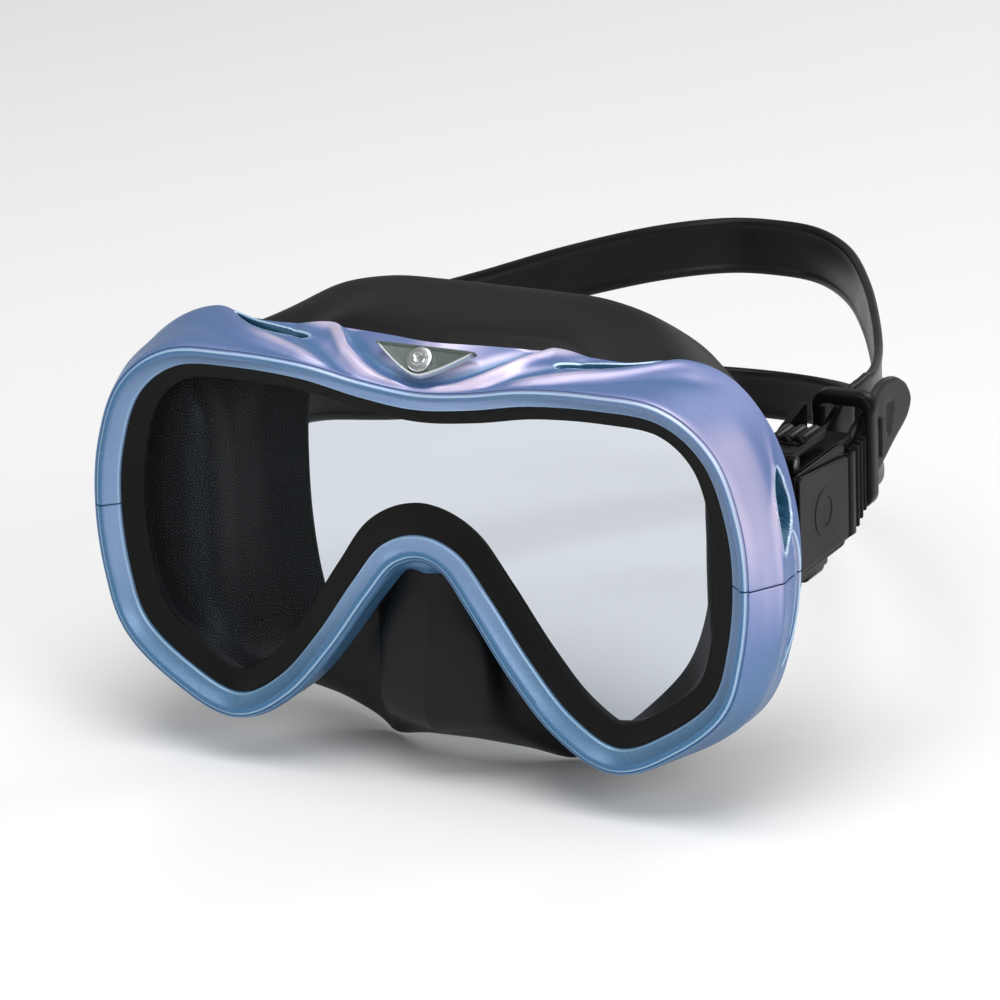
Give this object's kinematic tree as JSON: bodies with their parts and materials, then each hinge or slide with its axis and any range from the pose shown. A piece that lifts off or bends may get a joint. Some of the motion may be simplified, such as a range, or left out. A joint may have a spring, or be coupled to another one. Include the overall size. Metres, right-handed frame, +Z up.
{
  "type": "diving mask",
  "caption": "Single-lens diving mask with a two-piece frame, silicone skirt with nose pocket, swivelling squeeze buckles and a split head strap.",
  "frame": {"origin": "middle of the face seal, on the symmetry plane at the mid-height of the lens opening, 45 mm behind the front rim plane", "axes": "+X to the right seen from the front, +Y backwards towards the wearer, +Z up"},
  "size_m": [0.1642, 0.1897, 0.1004],
  "materials": {
    "glass": "clear tempered glass, faint blue-grey tint",
    "pearl_frame": "pearl blue shifting to lilac and teal, satin",
    "silicone": "matte black silicone",
    "strap_silicone": "satin black silicone",
    "gloss_black": "semi-gloss black moulded plastic",
    "matte_black": "matte black moulded plastic",
    "badge_metal": "satin chrome, slightly green-grey",
    "steel": "stainless"
  },
  "bodies": {
    "mask": {"lens": "glass", "lens_gasket": "silicone", "upper_frame": "pearl_frame", "lower_frame": "pearl_frame", "skirt": "silicone", "badge_plate": "badge_metal", "badge_emblem": "badge_metal", "left_seam_pin": "steel", "right_seam_pin": "steel", "left_buckle_mount": "matte_black", "right_buckle_mount": "matte_black", "left_hinge_pin": "steel", "right_hinge_pin": "steel"},
    "strap_set": {"head_strap": "strap_silicone", "left_buckle_base": "gloss_black", "left_buckle_cover": "gloss_black", "left_cover_inlay": "gloss_black", "left_release_pins": "steel", "left_roller_axle": "steel", "left_strap_keeper": "gloss_black", "right_buckle_base": "gloss_black", "right_buckle_cover": "gloss_black", "right_cover_inlay": "gloss_black", "right_release_pins": "steel", "right_roller_axle": "steel", "right_strap_keeper": "gloss_black"},
    "left_upper_release": {"left_upper_release": "gloss_black"},
    "left_lower_release": {"left_lower_release": "gloss_black"},
    "left_strap_roller": {"left_strap_roller": "matte_black"},
    "right_upper_release": {"right_upper_release": "gloss_black"},
    "right_lower_release": {"right_lower_release": "gloss_black"},
    "right_strap_roller": {"right_strap_roller": "matte_black"}
  },
  "joints": [
    {"name": "strap_swing", "type": "hinge", "parent": "mask", "child": "strap_set", "pos_m": [0, -0.018, 0.0085], "axis": [1, 0, 0], "range_deg": [-20, 8]},
    {"name": "left_upper_release_press", "type": "hinge", "parent": "strap_set", "child": "left_upper_release", "pos_m": [-0.0704, -0.0175, 0.0219], "axis": [-1, 0, 0], "range_deg": [0, 4.5], "stiffness_Nm_per_rad": 0.05, "springref_deg": -2.86},
    {"name": "left_lower_release_press", "type": "hinge", "parent": "strap_set", "child": "left_lower_release", "pos_m": [-0.0704, -0.0175, -0.0049], "axis": [1, 0, 0], "range_deg": [0, 4.5], "stiffness_Nm_per_rad": 0.05, "springref_deg": -2.86},
    {"name": "left_strap_roller_turn", "type": "hinge", "parent": "strap_set", "child": "left_strap_roller", "pos_m": [-0.0706, 0.007, 0.0085], "axis": [0, 0, 1], "continuous": true},
    {"name": "right_upper_release_press", "type": "hinge", "parent": "strap_set", "child": "right_upper_release", "pos_m": [0.0704, -0.0175, 0.0219], "axis": [-1, 0, 0], "range_deg": [0, 4.5], "stiffness_Nm_per_rad": 0.05, "springref_deg": -2.86},
    {"name": "right_lower_release_press", "type": "hinge", "parent": "strap_set", "child": "right_lower_release", "pos_m": [0.0704, -0.0175, -0.0049], "axis": [1, 0, 0], "range_deg": [0, 4.5], "stiffness_Nm_per_rad": 0.05, "springref_deg": -2.86},
    {"name": "right_strap_roller_turn", "type": "hinge", "parent": "strap_set", "child": "right_strap_roller", "pos_m": [0.0706, 0.007, 0.0085], "axis": [0, 0, 1], "continuous": true}
  ]
}
